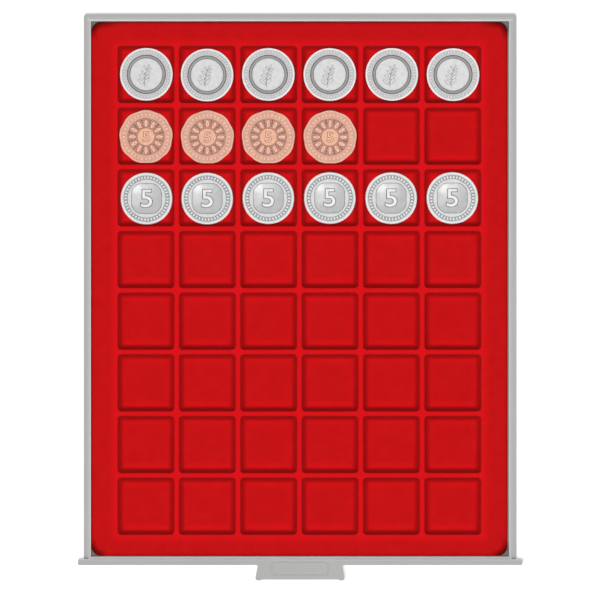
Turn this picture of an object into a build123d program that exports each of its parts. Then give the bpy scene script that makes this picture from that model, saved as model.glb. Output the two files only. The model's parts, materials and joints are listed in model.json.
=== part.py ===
from build123d import *
from math import atan, cos, degrees, radians
import os

# Stackable coin box: a grey drawer with a red flocked insert of square pockets, coins in the
# first pockets, and the cover that the drawer slides into. Millimetres, +Z up, +X to the right,
# the drawer's front towards -Y. The origin is the middle of the drawer's underside, and the
# drawer is fully out, standing in front of its cover.

os.makedirs("parts", exist_ok=True)

# Box as a whole
box_height = 20.0
running_gap = 0.3
parked_gap = 20.0

# Coins
ring_coin_radius = 14.1
ring_coin_thickness = 2.1
polymer_radius = 10.4
nine_sided_radius = 14.55
nine_sided_thickness = 1.9
plain_coin_radius = 13.9
plain_coin_thickness = 2.05

# Red flocked insert
sheet = 0.7
pocket_columns = 6
pocket_rows = 8
pocket_depth = 4.0
pocket_extra_width = 0.1
pocket_extra_length = 0.4
pocket_wall_run = 0.65
pocket_corner_cut = 1.2
rib_between_columns = 2.18
rib_between_rows = 2.05
margin_at_sides = 13.65
margin_at_front = 10.95
margin_at_back = 12.2
insert_corner_radius = 6.0
insert_edge_bevel = 0.6
insert_side_play = 0.7
insert_end_play = 0.45
insert_left_gap = 0.15

# Drawer tray
floor_thickness = 2.0
wall_thickness = 1.4
wall_top = 9.0
wall_edge_round = 0.4
runner_width = 2.4
runner_thickness = 1.6
runner_below_wall = 1.4
runner_corner_radius = 1.7

# Front strip of the drawer
strip_thickness = 3.1
strip_overhang = 2.9
strip_below_cover = 0.2
strip_end_radius = 0.6
strip_edge_bevel = 0.3

# Grip on the front strip
grip_root_width = 44.9
grip_end_width = 47.9
grip_depth = 7.7
grip_plate_thickness = 2.2
cheek_width = 3.0
cheek_foot_width = 3.8
cheek_foot_reach = 0.5
cheek_foot_round = 1.2
cheek_nose_height = 7.0
cheek_root_height = 15.0
grip_root_fillet = 0.8
plaque_width = 30.1
plaque_depth = 6.9
plaque_radius = 1.6
plaque_recess = 0.3
plaque_from_strip_back = 5.0

# Cover
cover_wall = 1.6
cover_top = 1.8
cover_corner_radius = 2.0
cover_edge_bevel = 0.5
seat_gap = 0.3
back_play = 0.5
rail_thickness = 1.6
rail_lead_in = 3.0
runner_play = 0.2
stack_rib_width = 2.2
stack_rib_height = 0.8
stack_rib_end_gap = 8.0

# Where each coin lies in its pocket, as shares of its free way to the right and to the back
ring_coin_places = [(0.9, -0.2), (0.1, -0.9), (0, -0.3), (0.1, -0.4), (1, -0.3), (0.8, -0.5)]
nine_sided_places = [(1, -0.5), (1, -0.9), (0, -0.8), (1, -0.9)]
plain_coin_places = [(0.8, -0.8), (0.2, -0.8), (0, -0.5), (0.1, -0.4), (0.1, -0.5), (-0.1, -0.4)]
coin_wall_gap = 0.05

# Insert, from the largest coin outwards
largest_coin_radius = max(ring_coin_radius, nine_sided_radius, plain_coin_radius)
pocket_floor_width = 2 * largest_coin_radius + pocket_extra_width
pocket_floor_length = 2 * largest_coin_radius + pocket_extra_length
pocket_width = pocket_floor_width + 2 * pocket_wall_run
pocket_length = pocket_floor_length + 2 * pocket_wall_run
pocket_pitch_x = pocket_width + rib_between_columns
pocket_pitch_y = pocket_length + rib_between_rows
grid_width = pocket_columns * pocket_pitch_x - rib_between_columns
grid_length = pocket_rows * pocket_pitch_y - rib_between_rows
insert_width = grid_width + 2 * margin_at_sides
insert_length = grid_length + margin_at_front + margin_at_back
cup_slope = degrees(atan(pocket_wall_run / pocket_depth))

# Tray, round the insert
inner_side = insert_width / 2 + insert_side_play
inner_length = insert_length + 2 * insert_end_play
tray_side = inner_side + wall_thickness
runner_span = 2 * (tray_side + runner_width)
tray_length = inner_length + 2 * wall_thickness + runner_width
box_width = runner_span + 2 * strip_overhang

# Places along Y
tray_back = tray_length / 2
strip_back = -tray_length / 2
strip_front = strip_back - strip_thickness
strip_middle = (strip_front + strip_back) / 2
grip_front = strip_front - grip_depth
cheek_front = grip_front - cheek_foot_reach
inner_front = strip_back + wall_thickness
inner_back = inner_front + inner_length
inner_middle = (inner_back + inner_front) / 2
grid_middle = inner_middle + (margin_at_front - margin_at_back) / 2
insert_shift = insert_left_gap - insert_side_play

# Levels
strip_top = box_height - strip_below_cover
runner_top = wall_top - runner_below_wall
runner_bottom = runner_top - runner_thickness
pocket_floor = floor_thickness + sheet
insert_top = pocket_floor + pocket_depth

# Drawer: tray, runners, front strip and grip are one moulding
with BuildPart() as drawer_tray:
    with BuildSketch(Plane.XY):
        with Locations((0, (strip_back + inner_back + wall_thickness) / 2)):
            Rectangle(2 * tray_side, inner_length + 2 * wall_thickness)
    extrude(amount=wall_top)
    with BuildSketch(Plane.XY.offset(floor_thickness)):
        with Locations((0, inner_middle)):
            Rectangle(2 * inner_side, inner_length)
    extrude(amount=wall_top - floor_thickness, mode=Mode.SUBTRACT)
    rim_edges = drawer_tray.edges().filter_by(
        lambda e: abs(e.center().Z - wall_top) < 0.01
        and abs(e.center().X) < inner_side + 0.01
        and inner_front - 0.01 < e.center().Y < inner_back + 0.01
    )
    fillet(rim_edges, radius=wall_edge_round)
    with BuildSketch(Plane.XY.offset(runner_bottom)):
        Rectangle(runner_span, tray_length)
        fillet(
            vertices().group_by(Axis.Y)[-1],
            radius=runner_corner_radius,
        )
        with Locations((0, (strip_back + inner_back + wall_thickness) / 2)):
            Rectangle(
                2 * tray_side - wall_thickness,
                inner_length + wall_thickness,
                mode=Mode.SUBTRACT,
            )
    extrude(amount=runner_thickness)
    with BuildSketch(Plane.XY):
        with Locations((0, strip_middle)):
            Rectangle(box_width, strip_thickness)
        fillet(vertices(), radius=strip_end_radius)
    strip = extrude(amount=strip_top)
    strip_rims = strip.edges().filter_by(Axis.X).group_by(Axis.Z)[-1]
    chamfer(strip_rims, length=strip_edge_bevel)
    # Grip plate, level with the top of the strip
    with BuildSketch(Plane.XY.offset(strip_top - grip_plate_thickness)):
        with BuildLine():
            Polyline(
                (-grip_root_width / 2, strip_back - strip_edge_bevel),
                (-grip_root_width / 2, strip_front),
                (-grip_end_width / 2 + cheek_width / 2, grip_front),
                (grip_end_width / 2 - cheek_width / 2, grip_front),
                (grip_root_width / 2, strip_front),
                (grip_root_width / 2, strip_back - strip_edge_bevel),
                close=True,
            )
        make_face()
    extrude(amount=grip_plate_thickness)
    # Cheeks at the two ends of the grip, cut back below so that a finger gets under the plate
    for side in (-1, 1):
        with BuildSketch(Plane.XY):
            with BuildLine():
                Polyline(
                    (side * (grip_root_width / 2 + cheek_width), strip_middle),
                    (side * (grip_root_width / 2 + cheek_width), strip_front),
                    (side * grip_root_width / 2, strip_front),
                    (side * grip_end_width / 2, cheek_front),
                    (side * (grip_end_width / 2 - cheek_foot_width), cheek_front),
                    (side * (grip_root_width / 2 - cheek_width), strip_middle),
                    close=True,
                )
            make_face()
            fillet(vertices().group_by(Axis.Y)[0], radius=cheek_foot_round)
            grip_root = vertices().sort_by_distance((side * grip_root_width / 2, strip_front))
            fillet(grip_root[0], radius=grip_root_fillet)
        extrude(amount=strip_top)
    with BuildSketch(Plane.YZ):
        with BuildLine():
            Polyline(
                (strip_front, 0),
                (strip_front, strip_top - cheek_root_height),
                (cheek_front, strip_top - cheek_nose_height),
                (cheek_front, 0),
                close=True,
            )
        make_face()
    extrude(amount=grip_end_width, both=True, mode=Mode.SUBTRACT)
    # Bare plaque on top of the grip
    with BuildSketch(Plane.XY.offset(strip_top)):
        with Locations((0, strip_back - plaque_from_strip_back)):
            RectangleRounded(plaque_width, plaque_depth, plaque_radius)
    extrude(amount=-plaque_recess, mode=Mode.SUBTRACT)
drawer_tray.part.label = "drawer_tray"
export_step(drawer_tray.part, "parts/drawer_tray.step")

# Insert: one formed sheet, a skirt round the edge and a cup for each pocket
with BuildPart() as pocket_insert:
    with BuildSketch(Plane.XY.offset(floor_thickness)):
        with Locations((insert_shift, inner_middle)):
            RectangleRounded(insert_width, insert_length, insert_corner_radius)
    extrude(amount=insert_top - floor_thickness)
    chamfer(faces().sort_by(Axis.Z)[-1].edges(), length=insert_edge_bevel)
    with BuildSketch(Plane.XY.offset(floor_thickness)):
        with Locations((insert_shift, inner_middle)):
            RectangleRounded(
                insert_width - 2 * sheet,
                insert_length - 2 * sheet,
                insert_corner_radius - sheet,
            )
    extrude(amount=insert_top - sheet - floor_thickness, mode=Mode.SUBTRACT)
    with BuildSketch(Plane.XY.offset(insert_top)):
        with Locations((insert_shift, grid_middle)):
            with GridLocations(pocket_pitch_x, pocket_pitch_y, pocket_columns, pocket_rows):
                Rectangle(pocket_width + 2 * sheet, pocket_length + 2 * sheet)
    extrude(amount=-(insert_top - floor_thickness), taper=cup_slope)
    with BuildSketch(Plane.XY.offset(insert_top)):
        with Locations((insert_shift, grid_middle)):
            with GridLocations(pocket_pitch_x, pocket_pitch_y, pocket_columns, pocket_rows):
                Rectangle(pocket_width, pocket_length)
        chamfer(vertices(), length=pocket_corner_cut)
    extrude(amount=-pocket_depth, taper=cup_slope, mode=Mode.SUBTRACT)
pocket_insert.part.label = "pocket_insert"
export_step(pocket_insert.part, "parts/pocket_insert.step")


def pocket_centre(column, row):
    x = insert_shift + (column - (pocket_columns - 1) / 2) * pocket_pitch_x
    y = grid_middle + ((pocket_rows - 1) / 2 - row) * pocket_pitch_y
    return x, y


def coin_place(column, row, half_width, half_length, shares):
    x, y = pocket_centre(column, row)
    way_x = pocket_floor_width / 2 - half_width - coin_wall_gap
    way_y = pocket_floor_length / 2 - half_length - coin_wall_gap
    return x + shares[0] * way_x, y + shares[1] * way_y


# Back row: coins with a metal outer ring round a core, which carries a translucent plastic ring
for column, shares in enumerate(ring_coin_places):
    centre = coin_place(column, 0, ring_coin_radius, ring_coin_radius, shares)
    with BuildPart() as coin_outer:
        with BuildSketch(Plane.XY.offset(pocket_floor)):
            with Locations(centre):
                Circle(ring_coin_radius)
                Circle(polymer_radius, mode=Mode.SUBTRACT)
        extrude(amount=ring_coin_thickness)
    with BuildPart() as coin_core:
        with BuildSketch(Plane.XY.offset(pocket_floor)):
            with Locations(centre):
                Circle(polymer_radius)
        extrude(amount=ring_coin_thickness)
    number = column + 1
    coin_outer.part.label = f"ring_coin_{number}_outer"
    coin_core.part.label = f"ring_coin_{number}_core"
    export_step(coin_outer.part, f"parts/ring_coin_{number}_outer.step")
    export_step(coin_core.part, f"parts/ring_coin_{number}_core.step")

# Second row: nine-sided copper coins, a corner to the back and a flat to the front
nine_sided_half_width = nine_sided_radius * cos(radians(10))
nine_sided_to_flat = nine_sided_radius * cos(radians(20))
nine_sided_half_length = (nine_sided_radius + nine_sided_to_flat) / 2
for column, shares in enumerate(nine_sided_places):
    middle = coin_place(column, 1, nine_sided_half_width, nine_sided_half_length, shares)
    centre = (middle[0], middle[1] - (nine_sided_radius - nine_sided_to_flat) / 2)
    with BuildPart() as nine_sided_coin:
        with BuildSketch(Plane.XY.offset(pocket_floor)):
            with Locations(centre):
                RegularPolygon(nine_sided_radius, 9, rotation=90)
        extrude(amount=nine_sided_thickness)
    number = column + 1
    nine_sided_coin.part.label = f"nine_sided_coin_{number}"
    export_step(nine_sided_coin.part, f"parts/nine_sided_coin_{number}.step")

# Third row: round coins in one piece
for column, shares in enumerate(plain_coin_places):
    with BuildPart() as plain_coin:
        with BuildSketch(Plane.XY.offset(pocket_floor)):
            with Locations(coin_place(column, 2, plain_coin_radius, plain_coin_radius, shares)):
                Circle(plain_coin_radius)
        extrude(amount=plain_coin_thickness)
    number = column + 1
    plain_coin.part.label = f"plain_coin_{number}"
    export_step(plain_coin.part, f"parts/plain_coin_{number}.step")

# Cover: open at the front and underneath, with a groove for the runners on each side
cover_front = tray_back + parked_gap
cover_length = tray_length - seat_gap + back_play + cover_wall
cover_back = cover_front + cover_length
cover_inside_back = cover_back - cover_wall
cover_inner_side = box_width / 2 - cover_wall
rail_reach = cover_inner_side - (tray_side + running_gap)
lower_rail_top = runner_bottom - runner_play
upper_rail_bottom = runner_top + runner_play
stack_rib_outer = cover_inner_side - 2 * running_gap
with BuildPart() as cover:
    with BuildSketch(Plane.XY):
        with Locations((0, (cover_front + cover_back) / 2)):
            Rectangle(box_width, cover_length)
        fillet(vertices().group_by(Axis.Y)[-1], radius=cover_corner_radius)
    extrude(amount=box_height)
    chamfer(faces().sort_by(Axis.Z)[-1].edges(), length=cover_edge_bevel)
    with BuildSketch(Plane.XY):
        with Locations((0, (cover_front + cover_inside_back) / 2)):
            Rectangle(2 * cover_inner_side, cover_inside_back - cover_front)
    extrude(amount=box_height - cover_top, mode=Mode.SUBTRACT)
    for side in (-1, 1):
        for rail_bottom in (lower_rail_top - rail_thickness, upper_rail_bottom):
            with BuildSketch(Plane.XY.offset(rail_bottom)):
                with BuildLine():
                    Polyline(
                        (side * cover_inner_side, cover_front),
                        (side * (cover_inner_side - rail_reach), cover_front + rail_lead_in),
                        (side * (cover_inner_side - rail_reach), cover_inside_back),
                        (side * cover_inner_side, cover_inside_back),
                        close=True,
                    )
                make_face()
            extrude(amount=rail_thickness)
        with BuildSketch(Plane.XY.offset(box_height)):
            with Locations(
                (
                    side * (stack_rib_outer - stack_rib_width / 2),
                    (cover_front + cover_back) / 2,
                )
            ):
                Rectangle(stack_rib_width, cover_length - 2 * stack_rib_end_gap)
        extrude(amount=stack_rib_height)
cover.part.label = "cover"
export_step(cover.part, "parts/cover.step")
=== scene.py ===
import json
import math

import bmesh
import bpy
from mathutils import Matrix, Vector

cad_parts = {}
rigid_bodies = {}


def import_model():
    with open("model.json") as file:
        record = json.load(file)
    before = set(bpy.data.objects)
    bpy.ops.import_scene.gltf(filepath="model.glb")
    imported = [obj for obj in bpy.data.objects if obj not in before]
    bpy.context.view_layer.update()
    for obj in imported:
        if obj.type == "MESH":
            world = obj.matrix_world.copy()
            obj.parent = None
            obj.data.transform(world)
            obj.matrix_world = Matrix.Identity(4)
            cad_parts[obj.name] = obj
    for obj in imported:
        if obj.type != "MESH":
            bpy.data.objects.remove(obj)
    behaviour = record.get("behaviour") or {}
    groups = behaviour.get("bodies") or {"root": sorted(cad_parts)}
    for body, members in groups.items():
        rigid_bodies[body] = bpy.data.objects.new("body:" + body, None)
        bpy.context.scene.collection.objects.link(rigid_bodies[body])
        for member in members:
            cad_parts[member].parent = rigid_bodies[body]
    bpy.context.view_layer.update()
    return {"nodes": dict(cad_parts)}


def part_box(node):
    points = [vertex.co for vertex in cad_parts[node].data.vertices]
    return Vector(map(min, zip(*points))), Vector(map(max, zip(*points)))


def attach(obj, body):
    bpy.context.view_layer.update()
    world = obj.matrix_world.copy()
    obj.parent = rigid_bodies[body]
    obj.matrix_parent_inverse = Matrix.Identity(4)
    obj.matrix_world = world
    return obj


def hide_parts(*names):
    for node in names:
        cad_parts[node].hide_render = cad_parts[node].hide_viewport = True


# Stackable coin box: grey drawer with a red flocked insert, sixteen coins, and the cover behind it.
# Metres, +Z up, the drawer's front towards -Y. The sizes of the insert, the coins and the plaque's
# bead are in millimetres, and become metres where a function multiplies them by MM.

MM = 0.001

for left_over in list(bpy.data.objects):
    bpy.data.objects.remove(left_over)
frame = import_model()

tray_low, tray_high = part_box("drawer_tray")
insert_low, insert_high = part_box("pocket_insert")

# The tray's edges, in metres: its low wall, the runner outside it, and the strip and grip in front
wall_thickness = 1.4 * MM
wall_top = 9.0 * MM
runner_width = 2.4 * MM
runner_below_wall = 1.4 * MM
strip_overhang = 2.9 * MM
strip_thickness = 3.1 * MM
grip_depth = 8.2 * MM
strip_back = tray_low.y + grip_depth + strip_thickness
tray_inside_low = (tray_low.x + strip_overhang + runner_width + wall_thickness, strip_back + wall_thickness)
tray_inside_high = (-tray_inside_low[0], tray_high.y - runner_width - wall_thickness)


# Colours and materials

def srgb(red, green, blue):
    """A colour on the 0 to 255 scale of a screen, as the linear colour that shaders take."""
    def linear(level):
        share = level / 255
        return share / 12.92 if share <= 0.04045 else ((share + 0.055) / 1.055) ** 2.4
    return linear(red), linear(green), linear(blue), 1.0


def start_material(name, roughness, metallic=0.0):
    """A new material, with its nodes, links and shader to build on."""
    material = bpy.data.materials.new(name)
    material.use_nodes = True
    shader = material.node_tree.nodes["Principled BSDF"]
    shader.inputs["Roughness"].default_value = roughness
    shader.inputs["Metallic"].default_value = metallic
    return material, material.node_tree.nodes, material.node_tree.links, shader


def object_noise(nodes, links, scale, detail=2.0, roughness=0.5):
    """Noise that lies still on the piece, with its scale in waves per metre."""
    place = nodes.new("ShaderNodeTexCoord")
    noise = nodes.new("ShaderNodeTexNoise")
    noise.inputs["Scale"].default_value = scale
    noise.inputs["Detail"].default_value = detail
    noise.inputs["Roughness"].default_value = roughness
    links.new(place.outputs["Object"], noise.inputs["Vector"])
    return noise.outputs["Fac"]


def mottle(nodes, links, factor, low, high, low_colour, high_colour):
    """Blends two near colours where the factor runs from low to high."""
    ramp = nodes.new("ShaderNodeValToRGB")
    ramp.color_ramp.elements[0].position = low
    ramp.color_ramp.elements[0].color = low_colour
    ramp.color_ramp.elements[1].position = high
    ramp.color_ramp.elements[1].color = high_colour
    links.new(factor, ramp.inputs["Fac"])
    return ramp.outputs["Color"]


def add_bump(nodes, links, shader, height, strength, distance):
    """Fine relief on the shader's normal, as deep as the distance in metres."""
    bump = nodes.new("ShaderNodeBump")
    bump.inputs["Strength"].default_value = strength
    bump.inputs["Distance"].default_value = distance
    links.new(height, bump.inputs["Height"])
    links.new(bump.outputs["Normal"], shader.inputs["Normal"])


def do_math(nodes, links, operation, *values):
    """One step of arithmetic on sockets and numbers."""
    step = nodes.new("ShaderNodeMath")
    step.operation = operation
    for place, value in enumerate(values):
        if isinstance(value, (int, float)):
            step.inputs[place].default_value = value
        else:
            links.new(value, step.inputs[place])
    return step.outputs[0]


def blend_in(nodes, links, factor, below, above):
    """Lays one colour over another where the factor nears 1."""
    blend = nodes.new("ShaderNodeMix")
    blend.data_type = "RGBA"
    links.new(factor, blend.inputs["Factor"])
    for colour, socket in ((below, blend.inputs["A"]), (above, blend.inputs["B"])):
        if isinstance(colour, tuple):
            socket.default_value = colour
        else:
            links.new(colour, socket)
    return blend.outputs["Result"]


def tray_painted_light(nodes, links, colour):
    """Painted light on the tray: a highlight on its wall's inner edge and the strip's back edge, light laid
    on its outer edge and front wall's top where shade falls, and painted shade in its inner corners.
    """
    # Tones painted over the plastic: a highlight, corner shade, and light laid where shade falls on the
    # edges and the front wall
    painted_edge_highlight, shaded = srgb(222, 223, 221), srgb(122, 124, 122)
    side_edge, back_edge = srgb(188, 189, 187), srgb(203, 204, 202)
    front_wall_low, front_wall_high = srgb(184, 185, 183), srgb(250, 252, 251)
    highlight_width, highlight_depth = 0.5 * MM, 0.6 * MM
    outer_edge_end = wall_thickness + 0.6 * MM
    behind_wall, shade_below = 0.3 * MM, 0.3 * MM
    slack, sliver = 0.1 * MM, 0.02 * MM
    # Along the front wall's top, 0 is the wall's inner face and 1 is the strip
    lightens_from, light_from, at_strip, past_strip_edge = 0.35, 0.75, 0.98, 1.28
    # How far inside both of a corner's walls its shade begins, and how far in it's full
    shade_begins, shade_full = -8 * MM, -4 * MM

    def step(operation, *values):
        return do_math(nodes, links, operation, *values)

    def between(value, low, high):
        return step("MULTIPLY", step("GREATER_THAN", value, low), step("LESS_THAN", value, high))

    place = nodes.new("ShaderNodeTexCoord")
    axes = nodes.new("ShaderNodeSeparateXYZ")
    links.new(place.outputs["Object"], axes.inputs[0])
    x, y, z = axes.outputs
    past = []
    for value, low, high in zip((x, y), tray_inside_low, tray_inside_high):
        centred = step("ABSOLUTE", step("SUBTRACT", value, (low + high) / 2))
        past.append(step("SUBTRACT", centred, (high - low) / 2))
    past_wall = step("MAXIMUM", *past)
    to_strip = step("DIVIDE", step("SUBTRACT", tray_inside_low[1], y), wall_thickness)

    # Painted light on the wall's outer edge and the runner at its foot, lifting the wall's shadow there
    outer_edge = between(past_wall, highlight_width, outer_edge_end)
    at_runner = between(z, wall_top - runner_below_wall - slack, wall_top + slack)
    at_back = step("GREATER_THAN", y, tray_inside_high[1] + behind_wall)
    edge_tone = blend_in(nodes, links, at_back, side_edge, back_edge)
    colour = blend_in(nodes, links, step("MULTIPLY", outer_edge, at_runner), colour, edge_tone)

    # A painted highlight on the wall's inner edge and the strip's back edge
    at_top = step("GREATER_THAN", z, wall_top - highlight_depth)
    inner_edge = step("MULTIPLY", at_top, between(past_wall, -highlight_width, highlight_width))
    strip_top = step("GREATER_THAN", z, tray_high.z - highlight_depth)
    strip_edge = step("MULTIPLY", strip_top, between(to_strip, at_strip, past_strip_edge))
    colour = blend_in(nodes, links, step("MAXIMUM", inner_edge, strip_edge), colour, painted_edge_highlight)

    # The front wall's top, painted lighter towards the strip to lift the strip's shade
    lightens = step("DIVIDE", step("SUBTRACT", to_strip, lightens_from), light_from - lightens_from)
    front_tone = blend_in(nodes, links, lightens, front_wall_low, front_wall_high)
    front_wall = step("MULTIPLY", at_top, between(to_strip, 0, at_strip))
    colour = blend_in(nodes, links, front_wall, colour, front_tone)

    # Painted shade in the inner corners, below the wall's top
    in_corner = nodes.new("ShaderNodeMapRange")
    links.new(step("MINIMUM", *past), in_corner.inputs["Value"])
    in_corner.inputs["From Min"].default_value = shade_begins
    in_corner.inputs["From Max"].default_value = shade_full
    below_top = step("LESS_THAN", z, wall_top - shade_below)
    inside = step("LESS_THAN", past_wall, sliver)
    corner = step("MULTIPLY", in_corner.outputs["Result"], step("MULTIPLY", inside, below_top))
    return blend_in(nodes, links, corner, colour, shaded)


def moulded_plastic(name, added_painted_light=None):
    """Light grey polystyrene with a fine satin grain and a trace of flow marks, plus any painted light
    given.
    """
    material, nodes, links, shader = start_material(name, roughness=0.42)
    flow = object_noise(nodes, links, scale=14, detail=3)
    colour = mottle(
        nodes, links, flow, low=0.3, high=0.7,
        low_colour=srgb(175, 176, 174), high_colour=srgb(182, 182, 180),
    )
    if added_painted_light:
        colour = added_painted_light(nodes, links, colour)
    links.new(colour, shader.inputs["Base Color"])
    grain = object_noise(nodes, links, scale=2600)
    add_bump(nodes, links, shader, grain, strength=0.12, distance=0.05 * MM)
    return material


def flocked_sheet():
    """Red flock, with a painted highlight over edges and painted shade in corners and down the pockets,
    from two vertex layers.
    """
    material, nodes, links, shader = start_material("red_flock", roughness=1.0)
    shader.inputs["Specular IOR Level"].default_value = 0.1
    shader.inputs["Sheen Weight"].default_value = 0.12
    shader.inputs["Sheen Roughness"].default_value = 0.6
    shader.inputs["Sheen Tint"].default_value = srgb(255, 90, 90)
    brushed = object_noise(nodes, links, scale=160, detail=4, roughness=0.6)
    colour = mottle(
        nodes, links, brushed, low=0.3, high=0.72,
        low_colour=srgb(200, 18, 21), high_colour=srgb(209, 21, 24),
    )
    # Painted highlights and painted shade, read from the two vertex layers
    for layer, tone in (("painted_flock_highlight", srgb(240, 20, 28)), ("painted_flock_shade", srgb(112, 8, 8))):
        painted_level = nodes.new("ShaderNodeAttribute")
        painted_level.attribute_name = layer
        colour = blend_in(nodes, links, painted_level.outputs["Fac"], colour, tone)
    links.new(colour, shader.inputs["Base Color"])
    fibres = object_noise(nodes, links, scale=5200, detail=3, roughness=0.7)
    add_bump(nodes, links, shader, fibres, strength=0.5, distance=0.2 * MM)
    return material


def struck_metal(name, light, dark, roughness):
    """Coin metal with faint clouding and hairlines from handling."""
    material, nodes, links, shader = start_material(name, roughness, metallic=0.75)
    cloud = object_noise(nodes, links, scale=420, detail=4, roughness=0.6)
    colour = mottle(nodes, links, cloud, low=0.32, high=0.7, low_colour=dark, high_colour=light)
    links.new(colour, shader.inputs["Base Color"])
    hairlines = object_noise(nodes, links, scale=3800)
    add_bump(nodes, links, shader, hairlines, strength=0.2, distance=0.04 * MM)
    return material


def polymer(name, light, dark):
    """Smoky translucent plastic of the ring between a coin's two metal parts."""
    material, nodes, links, shader = start_material(name, roughness=0.35)
    shader.inputs["Transmission Weight"].default_value = 0.15
    shader.inputs["IOR"].default_value = 1.5
    haze = object_noise(nodes, links, scale=900)
    colour = mottle(nodes, links, haze, low=0.3, high=0.7, low_colour=dark, high_colour=light)
    links.new(colour, shader.inputs["Base Color"])
    return material


grey_plastic = moulded_plastic("moulded_grey_plastic")
tray_plastic = moulded_plastic("moulded_grey_tray", tray_painted_light)
red_flock = flocked_sheet()
# Each metal comes in lighter and darker copies that paint light and shade on the relief: highlights on rims
# and tops, shade on flanks, grains and grounds
silver = struck_metal("coin_silver", srgb(212, 211, 211), srgb(199, 199, 199), roughness=0.42)
silver_painted_highlight = struck_metal("coin_silver_painted_highlight", srgb(236, 235, 235), srgb(222, 222, 222), roughness=0.36)
silver_painted_half_shade = struck_metal("coin_silver_painted_half_shade", srgb(193, 193, 194), srgb(181, 182, 183), roughness=0.45)
silver_painted_shade = struck_metal("coin_silver_painted_shade", srgb(160, 161, 163), srgb(138, 140, 142), roughness=0.5)
nickel = struck_metal("coin_nickel", srgb(196, 196, 196), srgb(184, 184, 185), roughness=0.42)
nickel_painted_highlight = struck_metal("coin_nickel_painted_highlight", srgb(226, 226, 226), srgb(215, 215, 215), roughness=0.36)
nickel_even = struck_metal("coin_nickel_even", srgb(209, 209, 209), srgb(198, 198, 199), roughness=0.4)
nickel_painted_shade = struck_metal("coin_nickel_painted_shade", srgb(132, 135, 136), srgb(108, 111, 113), roughness=0.5)
nickel_shaded = struck_metal("coin_nickel_shaded", srgb(166, 168, 169), srgb(146, 148, 150), roughness=0.46)
copper = struck_metal("coin_copper", srgb(236, 189, 168), srgb(221, 172, 151), roughness=0.42)
copper_painted_shade = struck_metal("coin_copper_painted_shade", srgb(146, 102, 88), srgb(118, 81, 70), roughness=0.5)
copper_warm = struck_metal("coin_copper_warm", srgb(230, 179, 152), srgb(216, 163, 136), roughness=0.42)
copper_shaded = struck_metal("coin_copper_shaded", srgb(199, 152, 134), srgb(175, 129, 113), roughness=0.46)
copper_painted_half_shade = struck_metal("coin_copper_painted_half_shade", srgb(218, 170, 149), srgb(203, 155, 135), roughness=0.45)
smoky_polymer = polymer("smoky_polymer", srgb(172, 172, 171), srgb(158, 159, 158))
polymer_seam = polymer("polymer_seam", srgb(112, 113, 113), srgb(96, 97, 97))

# What each coin's faces can be finished in: a face holds its finish's place in the list
ring_finishes = [silver, silver_painted_shade, silver_painted_half_shade, silver_painted_highlight]
core_finishes = [silver, silver_painted_shade]
polymer_finishes = [smoky_polymer, polymer_seam]
copper_finishes = [copper, copper_painted_shade, copper_warm, copper_shaded, copper_painted_half_shade]
nickel_finishes = [nickel, nickel_painted_shade, nickel_painted_highlight, nickel_shaded, nickel_even]


# Building and placing pieces

# A face is level where the height of its normal is past this, and an edge is a crease where its
# faces turn by more than the angle
level_normal = 0.9999
crease_angle = math.radians(32)


def crisp_where_flat(bm):
    """Smooth shading, with edges kept crisp at creases and round level faces."""
    for face in bm.faces:
        face.smooth = True
    for edge in bm.edges:
        level = any(abs(face.normal.z) > level_normal for face in edge.link_faces)
        if level or edge.calc_face_angle(0) > crease_angle:
            edge.smooth = False


def make_piece(name, bm, materials, body, nodes=(), move=(0, 0, 0)):
    """Turns a bmesh into a piece that rides on a body, its place in its mesh."""
    mesh = bpy.data.meshes.new(name)
    bm.to_mesh(mesh)
    mesh.transform(Matrix.Translation(move))
    for material in materials:
        mesh.materials.append(material)
    piece = bpy.data.objects.new(name, mesh)
    bpy.context.scene.collection.objects.link(piece)
    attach(piece, body)
    if nodes:
        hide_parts(*nodes)
    return piece


def new_faces(bm, known):
    return [face for face in bm.faces if face not in known]


def turn_profile(bm, profile, steps, closed=False):
    """Turns (radius, height) points, in millimetres, once round the vertical axis."""
    points = [bm.verts.new((radius * MM, 0, height * MM)) for radius, height in profile]
    pairs = list(zip(points, points[1:]))
    if closed:
        pairs.append((points[-1], points[0]))
    edges = [bm.edges.new(pair) for pair in pairs]
    bmesh.ops.spin(
        bm, geom=points + edges, cent=(0, 0, 0), axis=(0, 0, 1),
        angle=2 * math.pi, steps=steps, use_merge=True,
    )
    bmesh.ops.remove_doubles(bm, verts=bm.verts[:], dist=1e-7)
    bmesh.ops.recalc_face_normals(bm, faces=bm.faces[:])


def level_disc(bm, radius, segments, z, finish):
    """A level round face that looks up, in millimetres."""
    ring = bmesh.ops.create_circle(
        bm, cap_ends=True, radius=radius * MM, segments=segments,
        matrix=Matrix.Translation((0, 0, z * MM)),
    )["verts"]
    disc = ring[0].link_faces[0]
    if disc.normal.z < 0:
        disc.normal_flip()
    disc.material_index = finish
    return disc


def rounded_face(bm, width, length, radius, segments, x, y, z):
    """A level rectangle with rounded corners, in millimetres."""
    place = (
        Matrix.Translation((x * MM, y * MM, z * MM))
        @ Matrix.Diagonal((width / 2 * MM, length / 2 * MM, 1, 1))
    )
    corners = bmesh.ops.create_grid(bm, x_segments=1, y_segments=1, size=1, matrix=place)["verts"]
    cut = bmesh.ops.bevel(
        bm, geom=corners, offset=radius * MM, segments=segments,
        profile=0.5, affect="VERTICES", material=-1,
    )
    found = {face for vert in cut["verts"] for face in vert.link_faces}
    return found.pop()


def step_in(bm, faces, width, depth):
    """Insets faces by a width and moves them out by a depth, in millimetres."""
    bmesh.ops.inset_region(
        bm, faces=faces, thickness=width * MM, depth=depth * MM,
        use_even_offset=True, use_boundary=True,
    )


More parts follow.
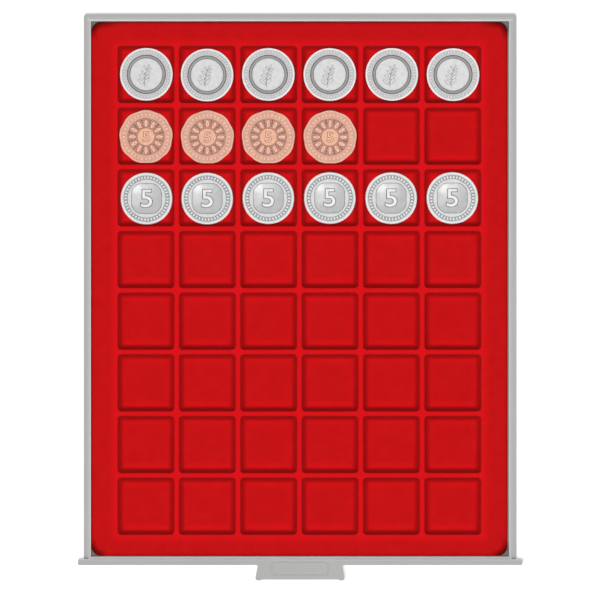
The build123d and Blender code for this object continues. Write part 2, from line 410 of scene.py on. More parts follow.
def shrink_in(bm, faces, share):
    """Lays a ring inside each face by drawing a copy of it in towards its middle."""
    bmesh.ops.inset_individual(bm, faces=faces, thickness=0.01 * MM, use_even_offset=True)
    for face in faces:
        middle = face.calc_center_median()
        bmesh.ops.scale(
            bm, verts=face.verts[:], vec=(share, share, 1), space=Matrix.Translation(-middle),
        )


def grain_place(length, width, height, x, y, z, turn):
    """Where a grain of relief lies and how large it is, for a shape of radius 1."""
    return (
        Matrix.Translation((x * MM, y * MM, z * MM))
        @ Matrix.Rotation(turn, 4, "Z")
        @ Matrix.Diagonal((length / 2 * MM, width / 2 * MM, height, 1))
    )


def add_grain(bm, length, width, height, x, y, z, turn, finish):
    """One low rounded grain of relief: a stalk, a dash or a bead, sunk to half its height."""
    known = set(bm.faces)
    place = grain_place(length, width, height * MM, x, y, z, turn)
    bmesh.ops.create_uvsphere(bm, u_segments=8, v_segments=4, radius=1, matrix=place)
    for face in new_faces(bm, known):
        face.material_index = finish


def add_leaf(bm, length, width, rise, x, y, z, turn, top_finish, side_finish, slope):
    """One flat-topped leaf of relief, rounded at both ends, with sloping sides darkened by painted shade.
    """
    place = grain_place(length, width, 1, x, y, z, turn)
    ring = bmesh.ops.create_circle(bm, cap_ends=True, radius=1, segments=10, matrix=place)["verts"]
    leaf = ring[0].link_faces[0]
    if leaf.normal.z < 0:
        leaf.normal_flip()
    leaf.material_index = side_finish
    bmesh.ops.inset_region(
        bm, faces=[leaf], thickness=slope * MM, depth=rise * MM, use_boundary=True,
    )
    leaf.material_index = top_finish


def leaf_row(bm, radius, count, length, width, rise, z, top_finish, side_finish, slope):
    """Leaves side by side round a circle, their ends inwards and outwards."""
    for number in range(count):
        angle = 2 * math.pi * number / count
        add_leaf(
            bm, length, width, rise, radius * math.cos(angle), radius * math.sin(angle), z,
            angle, top_finish, side_finish, slope,
        )


def add_numeral(bm, text, height, rise, slope, y, z, top_finish, side_finish, widen, bold):
    """A plain raised numeral of the height given, with sloping sides darkened by painted shade."""
    font_size_for_height = 1.38
    faces_up = 0.95
    curve = bpy.data.curves.new("numeral", "FONT")
    curve.body = text
    curve.size = height * MM * font_size_for_height
    curve.extrude = (rise - slope / 2) * MM
    curve.bevel_depth = slope * MM
    curve.bevel_resolution = 0
    curve.offset = (bold - slope / 2) * MM
    curve.resolution_u = 6
    holder = bpy.data.objects.new("numeral", curve)
    bpy.context.scene.collection.objects.link(holder)
    bpy.context.view_layer.update()
    shaped = holder.evaluated_get(bpy.context.evaluated_depsgraph_get())
    mesh = bpy.data.meshes.new_from_object(shaped)
    lows = [min(vertex.co[axis] for vertex in mesh.vertices) for axis in range(3)]
    highs = [max(vertex.co[axis] for vertex in mesh.vertices) for axis in range(3)]
    centre = Vector(((lows[0] + highs[0]) / 2, (lows[1] + highs[1]) / 2, highs[2]))
    scale = height * MM / (highs[1] - lows[1])
    mesh.transform(
        Matrix.Translation((0, y * MM, (z + rise) * MM))
        @ Matrix.Diagonal((scale * widen, scale, 1, 1))
        @ Matrix.Translation(-centre)
    )
    known = set(bm.faces)
    bm.from_mesh(mesh)
    for face in new_faces(bm, known):
        face.material_index = top_finish if face.normal.z > faces_up else side_finish
    bpy.data.objects.remove(holder)
    bpy.data.meshes.remove(mesh)
    bpy.data.curves.remove(curve)


# Red flocked insert, formed from one sheet

columns = 6
rows = 8
pitch_x = 32.68
pitch_y = 32.85
grid_x = -0.35
grid_y = -2.025
sheet = 0.65
pocket_width = 30.5
pocket_length = 30.8
pocket_depth = 4.03
pocket_corner = 2.4
rim_spread = 0.3
rim_round = 0.6
wall_lean = 0.4
foot_round = 0.3
insert_corner = 6.0
edge_round = 0.8
edge_cuts = 70
more_to_right = 0.4
more_to_front = 0.25
skirt_gap = 0.1
round_steps = 4

# Painted light and shade on the flock: up to 1 a painted highlight, down to -1 painted shade.
# Down a pocket it's given for the left, right, back and front side, and on its floor for rings
# at shares of the floor's size.
rim_painted_level = 0.6
wall_top_painted_levels = (0, -0.18, -0.2, -0.2)
wall_foot_painted_levels = (-0.1, -0.18, -0.26, -0.5)
floor_edge_painted_levels = (-0.42, -0.38, -0.54, -0.72)
floor_painted_rings = (
    (0.965, -0.46, -0.42, -0.54, -0.78),
    (0.93, -0.41, -0.35, -0.36, -0.56),
    (0.895, -0.29, -0.22, -0.13, -0.29),
    (0.86, -0.17, -0.14, 0.15, 0.08),
    (0.82, -0.06, -0.06, 0.32, 0.38),
    (0.76, 0.03, 0.03, 0.22, 0.38),
    (0.69, 0.04, 0.04, 0.1, 0.18),
    (0.6, 0, 0, 0.02, 0.03),
)
# Along the insert's edge: how far in a line lies, and how much painted shade it gets beside the
# tray's walls and in the corners, which begin further off at the back
edge_painted_shade = ((0, 0.2, 1.0), (1.1, 0, 0.72), (2.9, 0, 0))
corner_begins_back = 16
corner_begins = 9
corner_full = 4.5
# Round the whole grid of pockets: the line where the painted highlight begins, and the line where it's at
# its level
fade_margin, fade_corner = 4.5, 4.5
highlight_margin, highlight_corner, highlight_at_margin = 1.3, 2.5, 0.45


def mix(start, end, share):
    return start + (end - start) * share


def quarter_round(radius, level_first):
    """Steps of run and drop down a quarter circle that starts level or upright."""
    angles = [math.pi / 2 * step / round_steps for step in range(round_steps + 1)]
    for start, end in zip(angles, angles[1:]):
        more = radius * (math.sin(end) - math.sin(start))
        less = radius * (math.cos(start) - math.cos(end))
        yield (more, less) if level_first else (less, more)


def loop_edges(bm, width, length, radius, segments, x, y, z, cuts=0):
    """The outline of a rounded rectangle with no face in it, its straight sides cut up if asked."""
    known = set(bm.edges)
    face = rounded_face(bm, width, length, radius, segments, x, y, z)
    bmesh.ops.delete(bm, geom=[face], context="FACES_ONLY")
    if cuts:
        longer_than_a_corner = radius * 2 * MM
        sides = [
            edge for edge in bm.edges
            if edge not in known and edge.calc_length() > longer_than_a_corner
        ]
        bmesh.ops.subdivide_edges(bm, edges=sides, cuts=cuts)
    return [edge for edge in bm.edges if edge not in known]


def paint_light_and_shade(bm, faces, left, right, back, front):
    """Paints light and shade along each side of these faces, and blends the sides in the round corners."""
    corner_starts, corner_share = 0.88, 0.1
    layers = bm.verts.layers.float
    for face in faces:
        middle = face.calc_center_median()
        half_length = max(abs(vert.co.y - middle.y) for vert in face.verts)
        for vert in face.verts:
            to_back = (vert.co.y - middle.y) / half_length
            beside = left if vert.co.x < middle.x else right
            beyond = back if to_back > 0 else front
            round_corner = min(1, max(0, abs(to_back) - corner_starts) / corner_share)
            painted_level = mix(beside, beyond, round_corner)
            vert[layers["painted_flock_highlight"]] = max(0, painted_level)
            vert[layers["painted_flock_shade"]] = max(0, -painted_level)


def sink_pockets(bm, top):
    """All pockets: rounded rim, leaning wall, rounded foot and floor. Gives their outlines."""
    pockets = []
    for column in range(columns):
        for row in range(rows):
            pockets.append(
                rounded_face(
                    bm, pocket_width + 2 * rim_spread, pocket_length + 2 * rim_spread, pocket_corner,
                    segments=5,
                    x=grid_x + (column - (columns - 1) / 2) * pitch_x,
                    y=grid_y + (row - (rows - 1) / 2) * pitch_y,
                    z=top,
                )
            )
    paint_light_and_shade(bm, pockets, *[rim_painted_level] * 4)
    for number, (run, drop) in enumerate(quarter_round(rim_round, level_first=True)):
        step_in(bm, pockets, run, -drop)
        turned = (number + 1) / round_steps
        paint_light_and_shade(bm, pockets, *[mix(rim_painted_level, painted_level, turned) for painted_level in wall_top_painted_levels])
    step_in(bm, pockets, wall_lean, -(pocket_depth - rim_round - foot_round))
    paint_light_and_shade(bm, pockets, *wall_foot_painted_levels)
    for run, drop in quarter_round(foot_round, level_first=False):
        step_in(bm, pockets, run, -drop)
        paint_light_and_shade(bm, pockets, *floor_edge_painted_levels)
    reached = 1
    for share, *ring_painted_levels in floor_painted_rings:
        shrink_in(bm, pockets, share / reached)
        paint_light_and_shade(bm, pockets, *ring_painted_levels)
        reached = share
    return [edge for edge in bm.edges if len(edge.link_faces) == 1]


def lay_top(bm, pocket_edges, width, length, middle_x, middle_y, top):
    """The flat top between the outline and the pockets. Gives the outline's edges."""
    painted_flock_highlight = bm.verts.layers.float["painted_flock_highlight"]
    painted_flock_shade = bm.verts.layers.float["painted_flock_shade"]
    loops = []
    for band, beside_walls, in_corners in edge_painted_shade:
        inward = edge_round + band
        edges = loop_edges(
            bm, width - 2 * inward, length - 2 * inward, insert_corner - inward,
            segments=8, x=middle_x, y=middle_y, z=top, cuts=edge_cuts,
        )
        for vert in {vert for edge in edges for vert in edge.verts}:
            to_side = width / 2 - abs(vert.co.x / MM - middle_x)
            to_end = length / 2 - abs(vert.co.y / MM - middle_y)
            at_back = vert.co.y / MM > middle_y and to_side > to_end
            begins = corner_begins_back if at_back else corner_begins
            to_corner = (begins - max(to_side, to_end)) / (begins - corner_full)
            vert[painted_flock_shade] = mix(beside_walls, in_corners, min(1, max(0, to_corner)))
        loops.append(edges)
    grid_width = (columns - 1) * pitch_x + pocket_width
    grid_length = (rows - 1) * pitch_y + pocket_length
    for margin, corner in ((fade_margin, fade_corner), (highlight_margin, highlight_corner)):
        loops.append(
            loop_edges(
                bm, grid_width + 2 * margin, grid_length + 2 * margin, corner,
                segments=4, x=grid_x, y=grid_y, z=top,
            )
        )
    for vert in {vert for edge in loops[-1] for vert in edge.verts}:
        vert[painted_flock_highlight] = highlight_at_margin
    loops.append(pocket_edges)
    for outer, inner in zip(loops, loops[1:]):
        bmesh.ops.triangle_fill(bm, use_beauty=True, edges=inner + outer, normal=(0, 0, 1))
    return loops[0]


def hang_skirt(bm, edges, width, length, middle_x, middle_y, height):
    """The skirt: rolled over the outline, then down to just above the tray's floor."""
    across, along = width - 2 * edge_round, length - 2 * edge_round
    reach = 0
    down_to_floor = (0, height - edge_round - skirt_gap)
    for run, drop in [*quarter_round(edge_round, level_first=True), down_to_floor]:
        before, reach = reach, reach + run
        made = bmesh.ops.extrude_edge_only(bm, edges=edges)["geom"]
        verts = [part for part in made if isinstance(part, bmesh.types.BMVert)]
        edges = [part for part in made if isinstance(part, bmesh.types.BMEdge)]
        edges = [edge for edge in edges if all(vert in verts for vert in edge.verts)]
        wider = (across + 2 * reach) / (across + 2 * before)
        longer = (along + 2 * reach) / (along + 2 * before)
        bmesh.ops.scale(
            bm, verts=verts, vec=(wider, longer, 1),
            space=Matrix.Translation((-middle_x * MM, -middle_y * MM, 0)),
        )
        bmesh.ops.translate(bm, verts=verts, vec=(0, 0, -drop * MM))


def build_insert():
    """The whole insert: one sheet with its pockets, its flat top and its skirt."""
    bm = bmesh.new()
    for layer in ("painted_flock_highlight", "painted_flock_shade"):
        bm.verts.layers.float.new(layer)
    top = insert_high.z / MM
    height = (insert_high.z - insert_low.z) / MM
    width = (insert_high.x - insert_low.x) / MM + more_to_right
    length = (insert_high.y - insert_low.y) / MM + more_to_front
    middle_x = ((insert_high.x + insert_low.x) / MM + more_to_right) / 2
    middle_y = ((insert_high.y + insert_low.y) / MM - more_to_front) / 2
    pocket_edges = sink_pockets(bm, top)
    outline_edges = lay_top(bm, pocket_edges, width, length, middle_x, middle_y, top)
    hang_skirt(bm, outline_edges, width, length, middle_x, middle_y, height)
    bmesh.ops.recalc_face_normals(bm, faces=bm.faces[:])
    if sum(face.normal.z for face in bm.faces) < 0:
        bmesh.ops.reverse_faces(bm, faces=bm.faces[:])
    crisp_where_flat(bm)
    piece = make_piece("flocked_insert", bm, [red_flock], "insert", ["pocket_insert"])
    bm.free()
    thickness = piece.modifiers.new("sheet", "SOLIDIFY")
    thickness.thickness = sheet * MM
    thickness.offset = -1
    thickness.use_even_offset = False


build_insert()


# Coins

ring_coins = 6
nine_sided_coins = 4
plain_coins = 6

edge_reeds = 240
reed_depth = 0.09
smooth_steps = 128
ground_steps = 96
disc_steps = 48
hair = 0.01

ring_radius = 14.1
ring_thickness = 2.1
seam_radius = 10.42
core_radius = 8.65

plain_radius = 13.9
plain_thickness = 2.05

nine_sided_thickness = 1.9
nine_sided_to_flat = 14.05
nine_sided_corner_radius = 8.0
nine_sided_cad_to_corner = 14.55
nine_sided_shift_back = 0.2
half_side_angle = math.pi / 9


def coin_centre(node):
    """The middle of a coin's box across, at the level of its underside."""
    low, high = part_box(node)
    return Vector(((low.x + high.x) / 2, (low.y + high.y) / 2, low.z))


def reed_edge(bm, radius, low, high):
    """Draws every second upright of a coin's edge in a little, as on a milled edge."""
    drawn_in = 1 - reed_depth / radius
    for vert in bm.verts:
        reach = math.hypot(vert.co.x, vert.co.y)
        if reach > (radius - 2 * hair) * MM and low * MM < vert.co.z < high * MM:
            number = round(math.atan2(vert.co.y, vert.co.x) / (2 * math.pi) * edge_reeds)
            if number % 2:
                vert.co.x *= drawn_in
                vert.co.y *= drawn_in


def sunk_band(bm, inner, outer, z, finish):
    """A level ring of ground, darker by painted shade, between two circles, a hair above the coin's field.
    """
    disc = level_disc(bm, outer, ground_steps, z + hair, finish)
    step_in(bm, [disc], width=outer - inner, depth=0)
    bmesh.ops.delete(bm, geom=[disc], context="FACES_ONLY")


def raise_disc(bm, radius, segments, slope, rise, z, top_finish, side_finish):
    """A round step on the coin's field."""
    disc = level_disc(bm, radius, segments, z, side_finish)
    step_in(bm, [disc], slope, rise)
    disc.material_index = top_finish


def leafy_twig(bm, x, y, turn, bend, reach, pairs, leaf_length, leaf_width, z, top_finish, side_finish):
    """A bending stem with a pair of leaves at each step, and one leaf at its tip."""
    stem_width, stem_height, stem_overlap = 0.36, 0.1, 1.25
    leaf_rise, leaf_slope, leaf_lean, leaf_gap = 0.12, 0.24, 0.8, 0.2
    shrinks_by, tip_size, tip_slope = 0.45, 0.6, 0.22
    angle = turn
    step = reach / pairs
    for number in range(pairs):
        add_grain(bm, step * stem_overlap, stem_width, stem_height, x, y, z, angle, side_finish)
        size = 1 - shrinks_by * number / pairs
        out = leaf_length * size / 2 + leaf_gap
        for side in (-1, 1):
            lean = angle + side * leaf_lean
            add_leaf(
                bm, leaf_length * size, leaf_width * size, leaf_rise,
                x + out * math.cos(lean), y + out * math.sin(lean), z,
                lean, top_finish, side_finish, leaf_slope,
            )
        angle += bend / pairs
        x += step * math.cos(angle)
        y += step * math.sin(angle)
    add_leaf(
        bm, leaf_length * tip_size, leaf_width * tip_size, leaf_rise, x, y, z,
        angle, top_finish, side_finish, tip_slope,
    )


def ring_coin_outer():
    """Metal outer ring: raised rim, a sunk band with a row of leaves, and a lip at the seam."""
    plain, shade_finish, half_shade_finish, highlight_finish = range(len(ring_finishes))
    bm = bmesh.new()
    band = ring_thickness - 0.14
    lip_top = ring_thickness - 0.04
    rim_foot = ring_radius - 0.95
    turn_profile(
        bm,
        [
            (seam_radius, 0.1), (seam_radius + 0.1, 0), (ring_radius - 0.25, 0), (ring_radius, 0.25),
            (ring_radius, ring_thickness - 0.25), (ring_radius - 0.08, ring_thickness - 0.06),
            (ring_radius - 0.25, ring_thickness), (ring_radius - 0.75, ring_thickness), (rim_foot, band),
            (seam_radius + 0.5, band), (seam_radius + 0.35, lip_top),
            (seam_radius + 0.12, lip_top), (seam_radius, ring_thickness - 0.15),
        ],
        edge_reeds, closed=True,
    )
    reed_edge(bm, ring_radius, low=0.2, high=ring_thickness - 0.2)
    # The rim's faces get the painted highlight finish
    for face in bm.faces:
        middle = face.calc_center_median()
        if middle.z > (band + hair) * MM and math.hypot(middle.x, middle.y) > rim_foot * MM:
            face.material_index = highlight_finish
    sunk_band(bm, inner=seam_radius + 0.62, outer=ring_radius - 1.15, z=band, finish=half_shade_finish)
    leaf_row(
        bm, radius=11.98, count=46, length=1.75, width=1.3, rise=0.09, z=band,
        top_finish=plain, side_finish=shade_finish, slope=0.15,
    )
    crisp_where_flat(bm)
    return bm


def ring_coin_polymer():
    """Polymer ring: domed, with a darker seam along both metal parts."""
    clear, seam = range(len(polymer_finishes))
    inner_seam, outer_seam = 0.2, 0.4
    bm = bmesh.new()
    inner, outer = core_radius + 2 * hair, seam_radius - 2 * hair
    middle = (inner + outer) / 2
    crown = ring_thickness - 0.14
    turn_profile(
        bm,
        [
            (inner, 0.15), (inner + 0.15, 0.05), (outer - 0.15, 0.05), (outer, 0.15),
            (outer, ring_thickness - 0.38), (outer - 0.45, ring_thickness - 0.22),
            (middle + 0.2, crown), (middle - 0.2, crown),
            (inner + 0.22, ring_thickness - 0.24), (inner, ring_thickness - 0.34),
        ],
        smooth_steps, closed=True,
    )
    for face in bm.faces:
        reach = math.hypot(face.calc_center_median().x, face.calc_center_median().y) / MM
        face.material_index = clear if inner + inner_seam < reach < outer - outer_seam else seam
    crisp_where_flat(bm)
    return bm


def ring_coin_core():
    """Metal core: a twig with leaves on a plain field."""
    plain, shade_finish = range(len(core_finishes))
    bm = bmesh.new()
    field = ring_thickness - 0.12
    lip_top = ring_thickness - 0.04
    turn_profile(
        bm,
        [
            (0, 0), (core_radius - 0.15, 0), (core_radius, 0.15), (core_radius, ring_thickness - 0.15),
            (core_radius - 0.12, lip_top), (core_radius - 0.35, lip_top), (core_radius - 0.5, field),
            (0, field),
        ],
        smooth_steps,
    )
    leafy_twig(
        bm, x=-1.1, y=-5.4, turn=math.radians(98), bend=-0.6, reach=10.0, pairs=4,
        leaf_length=4.2, leaf_width=1.8, z=field, top_finish=plain, side_finish=shade_finish,
    )
    crisp_where_flat(bm)
    return bm


def bowed_square(bm, side, corner, bow, z):
    """A level square face with rounded corners and sides that bow out, in millimetres."""
    field = rounded_face(bm, side, side, corner, segments=10, x=0, y=0, z=z)
    sides = [edge for edge in field.edges if edge.calc_length() > side / 5 * MM]
    bmesh.ops.subdivide_edges(bm, edges=sides, cuts=9)
    for vert in field.verts:
        across, along = abs(vert.co.x), abs(vert.co.y)
        out = bow * MM * (1 - (min(across, along) / (side / 2 * MM)) ** 2)
        if across > along:
            vert.co.x += math.copysign(out, vert.co.x)
        else:
            vert.co.y += math.copysign(out, vert.co.y)
    return field


def dish_field(bm, field, side):
    """A shallow bowl in the field: each ring in it is less steep than the one outside it."""
    rings = 6
    edge_slope = math.tan(math.radians(13))
    drawn_in = 0.95
    for ring in range(rings):
        shrink_in(bm, [field], 1 - 1 / (rings + 1 - ring) * drawn_in)
        drop = edge_slope * (1 - (ring + 0.5) / rings) * side / 2 / (rings + 1)
        bmesh.ops.translate(bm, verts=field.verts[:], vec=(0, 0, -drop * MM))


def plain_coin():
    """Round coin with a dished square field, its sides bowed out, and a plain numeral in it."""
    plain, shade_finish, highlight_finish, shaded, even = range(len(nickel_finishes))
    radius, thickness = plain_radius, plain_thickness
    band = thickness - 0.12
    bm = bmesh.new()
    turn_profile(
        bm,
        [
            (0, 0), (radius - 0.25, 0), (radius, 0.25), (radius, thickness - 0.35),
            (radius - 0.12, thickness - 0.12), (radius - 0.4, thickness),
            (radius - 0.95, thickness), (radius - 1.2, band),
        ],
        edge_reeds,
    )
    reed_edge(bm, radius, low=0.2, high=thickness - 0.3)
    rim_edges = [
        edge for edge in bm.edges
        if len(edge.link_faces) == 1 and all(vert.co.z > thickness / 2 * MM for vert in edge.verts)
    ]
    field_side = 15.6
    field = bowed_square(bm, field_side, corner=5.0, bow=0.4, z=band)
    bmesh.ops.triangle_fill(
        bm, use_beauty=True, edges=rim_edges + list(field.edges), normal=(0, 0, 1),
    )
    # Level faces below the rim get the even finish, the rim and its slopes the painted highlight
    for face in bm.faces:
        below_rim = face.calc_center_median().z < (thickness - hair) * MM
        face.material_index = even if face.normal.z > level_normal and below_rim else highlight_finish
    known = set(bm.faces)
    step_in(bm, [field], width=0.3, depth=-0.1)
    for face in new_faces(bm, known):
        face.material_index = shade_finish
    field.material_index = plain
    dish_field(bm, field, field_side)
    sunk_band(bm, inner=10.05, outer=12.35, z=band, finish=shaded)
    leaf_row(
        bm, radius=11.2, count=42, length=1.95, width=1.3, rise=0.1, z=band,
        top_finish=highlight_finish, side_finish=shade_finish, slope=0.2,
    )
    add_numeral(
        bm, "5", height=10.0, rise=0.75, slope=0.3, y=0.1, z=thickness - 0.98,
        top_finish=highlight_finish, side_finish=shade_finish, widen=1.12, bold=0.22,
    )
    bmesh.ops.recalc_face_normals(bm, faces=bm.faces[:])
    crisp_where_flat(bm)
    return bm


def nine_sided_blank(bm):
    """A blank with nine sides and rounded corners, chamfered below and rimmed above. Gives its field."""
    chamfer = 0.3
    shoulder = 0.25
    corners = bmesh.ops.create_circle(
        bm, cap_ends=True, radius=nine_sided_to_flat / math.cos(half_side_angle) * MM, segments=9,
        matrix=Matrix.Translation((0, 0, chamfer * MM)),
    )["verts"]
    cut = bmesh.ops.bevel(
        bm, geom=corners, offset=nine_sided_corner_radius * math.tan(half_side_angle) * MM, segments=8,
        profile=0.5, affect="VERTICES", material=-1,
    )
    base = {face for vert in cut["verts"] for face in vert.link_faces}.pop()
    if base.normal.z < 0:
        base.normal_flip()
    made = bmesh.ops.extrude_face_region(bm, geom=[base])["geom"]
    lid = next(part for part in made if isinstance(part, bmesh.types.BMFace))
    upright = nine_sided_thickness - shoulder - chamfer
    bmesh.ops.translate(bm, verts=lid.verts[:], vec=(0, 0, upright * MM))
    bottom = next(face for face in bm.faces if len(face.verts) > 4 and face is not lid)
    bottom.normal_update()
    if bottom.normal.z > 0:
        bottom.normal_flip()
    step_in(bm, [bottom], chamfer, chamfer)
    # Over the rim and down to the field: (run inwards, rise)
    for run, rise in ((0.1, 0.17), (0.18, 0.08), (0.5, 0), (0.14, -0.12)):
        step_in(bm, [lid], run, rise)
    return lid


def nine_sided_coin():
    """Nine-sided coin: a border of dashes, petals round a raised disc, and a plain numeral."""
    plain, shade_finish, warm, shaded, lid_shade_finish = range(len(copper_finishes))
    bm = bmesh.new()
    nine_sided_blank(bm).material_index = lid_shade_finish
    field = nine_sided_thickness - 0.12
    leaf_row(
        bm, radius=11.75, count=36, length=2.3, width=1.55, rise=0.1, z=field,
        top_finish=plain, side_finish=shaded, slope=0.2,
    )
    ground_rise = 0.05
    raise_disc(
        bm, radius=9.85, segments=ground_steps, slope=0.22, rise=ground_rise, z=field,
        top_finish=shaded, side_finish=shade_finish,
    )
    ground = field + ground_rise
    petals = 12
    petal_middle, rib_middle = 7.2, 7.0
    # Between two petals, from the middle outwards: (radius, length, width)
    dashes = ((6.0, 1.5, 0.45), (7.7, 1.4, 0.8), (8.95, 0.8, 1.3))
    for number in range(petals):
        angle = 2 * math.pi * number / petals
        out_x, out_y = math.cos(angle), math.sin(angle)
        add_leaf(
            bm, length=4.5, width=2.3, rise=0.2, x=petal_middle * out_x, y=petal_middle * out_y, z=ground,
            turn=angle, top_finish=plain, side_finish=shade_finish, slope=0.22,
        )
        add_grain(
            bm, length=2.4, width=0.3, height=0.28, x=rib_middle * out_x, y=rib_middle * out_y, z=ground,
            turn=angle, finish=shade_finish,
        )
        between = angle + math.pi / petals
        for reach, length, width in dashes:
            x, y = reach * math.cos(between), reach * math.sin(between)
            add_grain(bm, length, width, height=0.14, x=x, y=y, z=ground, turn=between, finish=shade_finish)
    disc_rise = 0.12
    raise_disc(
        bm, radius=4.8, segments=disc_steps, slope=0.22, rise=disc_rise, z=ground,
        top_finish=warm, side_finish=shade_finish,
    )
    add_numeral(
        bm, "5", height=5.7, rise=0.25, slope=0.22, y=0, z=ground + disc_rise - 2 * hair,
        top_finish=plain, side_finish=shade_finish, widen=1.12, bold=0.1,
    )
    bmesh.ops.recalc_face_normals(bm, faces=bm.faces[:])
    crisp_where_flat(bm)
    return bm


outer_shape = ring_coin_outer()
polymer_shape = ring_coin_polymer()
core_shape = ring_coin_core()
for number in range(1, ring_coins + 1):
    body = f"ring_coin_{number}"
    outer, core = f"{body}_outer", f"{body}_core"
    place = coin_centre(outer)
    make_piece(f"{outer}_ring", outer_shape, ring_finishes, body, [outer], place)
    make_piece(f"{core}_disc", core_shape, core_finishes, body, [core], place)
    make_piece(f"{body}_polymer_ring", polymer_shape, polymer_finishes, body, move=place)

# A nonagon reaches further to a corner than to the flat opposite, so that the middle of its box
# isn't the coin's middle
box_off_middle = nine_sided_cad_to_corner * (1 - math.cos(half_side_angle)) / 2
nine_sided_shape = nine_sided_coin()
for number in range(1, nine_sided_coins + 1):
    body = f"nine_sided_coin_{number}"
    place = coin_centre(body) - Vector((0, (box_off_middle - nine_sided_shift_back) * MM, 0))
    make_piece(f"{body}_struck", nine_sided_shape, copper_finishes, body, [body], place)

plain_shape = plain_coin()
for number in range(1, plain_coins + 1):
    body = f"plain_coin_{number}"
    place = coin_centre(body)
    make_piece(f"{body}_struck", plain_shape, nickel_finishes, body, [body], place)

for shape in (outer_shape, polymer_shape, core_shape, nine_sided_shape, plain_shape):
    shape.free()


# Tray and cover keep their CAD shapes

for node, finish in (("drawer_tray", tray_plastic), ("cover", grey_plastic)):
    part = frame["nodes"][node]
    part.data.materials.clear()
    part.data.materials.append(finish)


def build_plaque_bead():
    """A low bead round the bare plaque on the grip, down to the plaque's sunk ground."""
    plaque_width, plaque_depth, plaque_corner, plaque_recess = 30.1, 6.9, 2.3, 0.3
    plaque_middle_to_strip_back = 5.0
    bead_width, bead_height, bead_foot = 0.6, 0.25, 0.05
    side, crown = bead_width * 0.3, bead_width * 0.4
    bm = bmesh.new()
    plaque = rounded_face(
        bm, plaque_width + bead_width, plaque_depth + bead_width, plaque_corner + bead_width / 2,
        segments=8, x=0, y=strip_back / MM - plaque_middle_to_strip_back, z=tray_high.z / MM - bead_foot,
    )
    step_in(bm, [plaque], side, bead_height)
    step_in(bm, [plaque], crown, 0)
    step_in(bm, [plaque], side, bead_foot - bead_height - plaque_recess)
    bmesh.ops.delete(bm, geom=[plaque], context="FACES_ONLY")
    for face in bm.faces:
        face.smooth = True
    make_piece("grip_plaque_bead", bm, [grey_plastic], "drawer")
    bm.free()


build_plaque_bead()


# Floor, light and camera

def seen_directly(nodes, links):
    """1 where the camera looks at a surface, also by way of a mirror or through something clear."""
    path = nodes.new("ShaderNodeLightPath")
    seen = do_math(nodes, links, "MAXIMUM", path.outputs["Is Camera Ray"], path.outputs["Is Glossy Ray"])
    return do_math(nodes, links, "MAXIMUM", seen, path.outputs["Is Transmission Ray"])


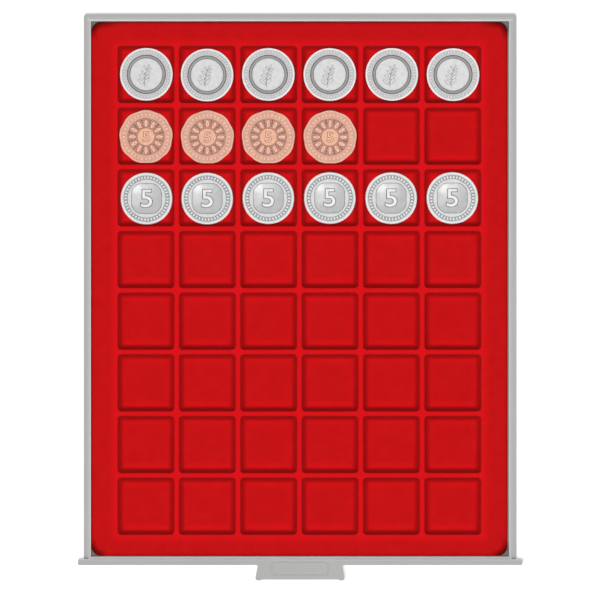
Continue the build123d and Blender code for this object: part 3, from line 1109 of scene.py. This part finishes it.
def studio_floor(half_size, below_box, near, far, near_glow):
    """White floor that keeps the shadow near the box and is all white to the camera far off."""
    bm = bmesh.new()
    bmesh.ops.create_grid(bm, x_segments=1, y_segments=1, size=half_size)
    mesh = bpy.data.meshes.new("studio_floor")
    bm.to_mesh(mesh)
    bm.free()
    mesh.transform(Matrix.Translation((0, 0, -below_box)))
    floor = bpy.data.objects.new("studio_floor", mesh)
    bpy.context.scene.collection.objects.link(floor)
    material, nodes, links, shader = start_material("studio_white", roughness=0.9)
    shader.inputs["Base Color"].default_value = (0.8, 0.8, 0.8, 1)
    shader.inputs["Specular IOR Level"].default_value = 0.0
    glow = nodes.new("ShaderNodeEmission")
    glow.inputs["Color"].default_value = (1, 1, 1, 1)
    place = nodes.new("ShaderNodeTexCoord")
    away = nodes.new("ShaderNodeVectorMath")
    away.operation = "LENGTH"
    links.new(place.outputs["Object"], away.inputs[0])
    lift = nodes.new("ShaderNodeMapRange")
    links.new(away.outputs["Value"], lift.inputs["Value"])
    lift.inputs["From Min"].default_value = near
    lift.inputs["From Max"].default_value = far
    lift.inputs["To Min"].default_value = near_glow
    lift.inputs["To Max"].default_value = 1.0
    strength = do_math(nodes, links, "MULTIPLY", seen_directly(nodes, links), lift.outputs["Result"])
    links.new(strength, glow.inputs["Strength"])
    both = nodes.new("ShaderNodeAddShader")
    links.new(shader.outputs[0], both.inputs[0])
    links.new(glow.outputs[0], both.inputs[1])
    links.new(both.outputs[0], nodes["Material Output"].inputs["Surface"])
    mesh.materials.append(material)


def studio_world(fill):
    """White to the camera and in reflections, and a soft fill for everything else."""
    world = bpy.data.worlds.new("studio")
    bpy.context.scene.world = world
    world.use_nodes = True
    nodes, links = world.node_tree.nodes, world.node_tree.links
    background = nodes["Background"]
    background.inputs["Color"].default_value = (1, 1, 1, 1)
    level = nodes.new("ShaderNodeMapRange")
    level.inputs["To Min"].default_value = fill
    level.inputs["To Max"].default_value = 1.0
    links.new(seen_directly(nodes, links), level.inputs["Value"])
    links.new(level.outputs["Result"], background.inputs["Strength"])


def soft_lamp(name, place, size, power, shines_in_metal):
    """A round soft lamp, turned to the box: one lights it, the other is mirrored in the coins."""
    lamp = bpy.data.lights.new(name, "AREA")
    lamp.shape = "DISK"
    lamp.size = size
    lamp.energy = power
    holder = bpy.data.objects.new(name, lamp)
    holder.location = place
    holder.rotation_euler = (-Vector(place)).to_track_quat("-Z", "Y").to_euler()
    holder.visible_glossy = shines_in_metal
    holder.visible_diffuse = not shines_in_metal
    bpy.context.scene.collection.objects.link(holder)


studio_floor(half_size=15, below_box=0.2 * MM, near=0.7, far=2.2, near_glow=0.45)
studio_world(fill=0.22)
soft_lamp("key_lamp", place=(-0.12, -0.26, 3.3), size=0.5, power=77, shines_in_metal=False)
soft_lamp("coin_lamp", place=(0.8, -0.9, 3.2), size=0.9, power=18, shines_in_metal=True)

# The photograph looks straight down from far off: its middle, and the width of the 600 pixels at
# the level of the front strip's top
photo_width = 318.94 * MM
photo_middle_y = -7.18 * MM
camera_height = 8.0
camera = bpy.data.cameras.new("camera")
camera.sensor_width = 36
camera.lens = camera.sensor_width * camera_height / photo_width
camera.clip_start = 1
camera.clip_end = 20
camera_holder = bpy.data.objects.new("camera", camera)
camera_holder.location = (0, photo_middle_y, tray_high.z + camera_height)
bpy.context.scene.collection.objects.link(camera_holder)
bpy.context.scene.camera = camera_holder

bpy.context.scene.view_settings.view_transform = "Standard"
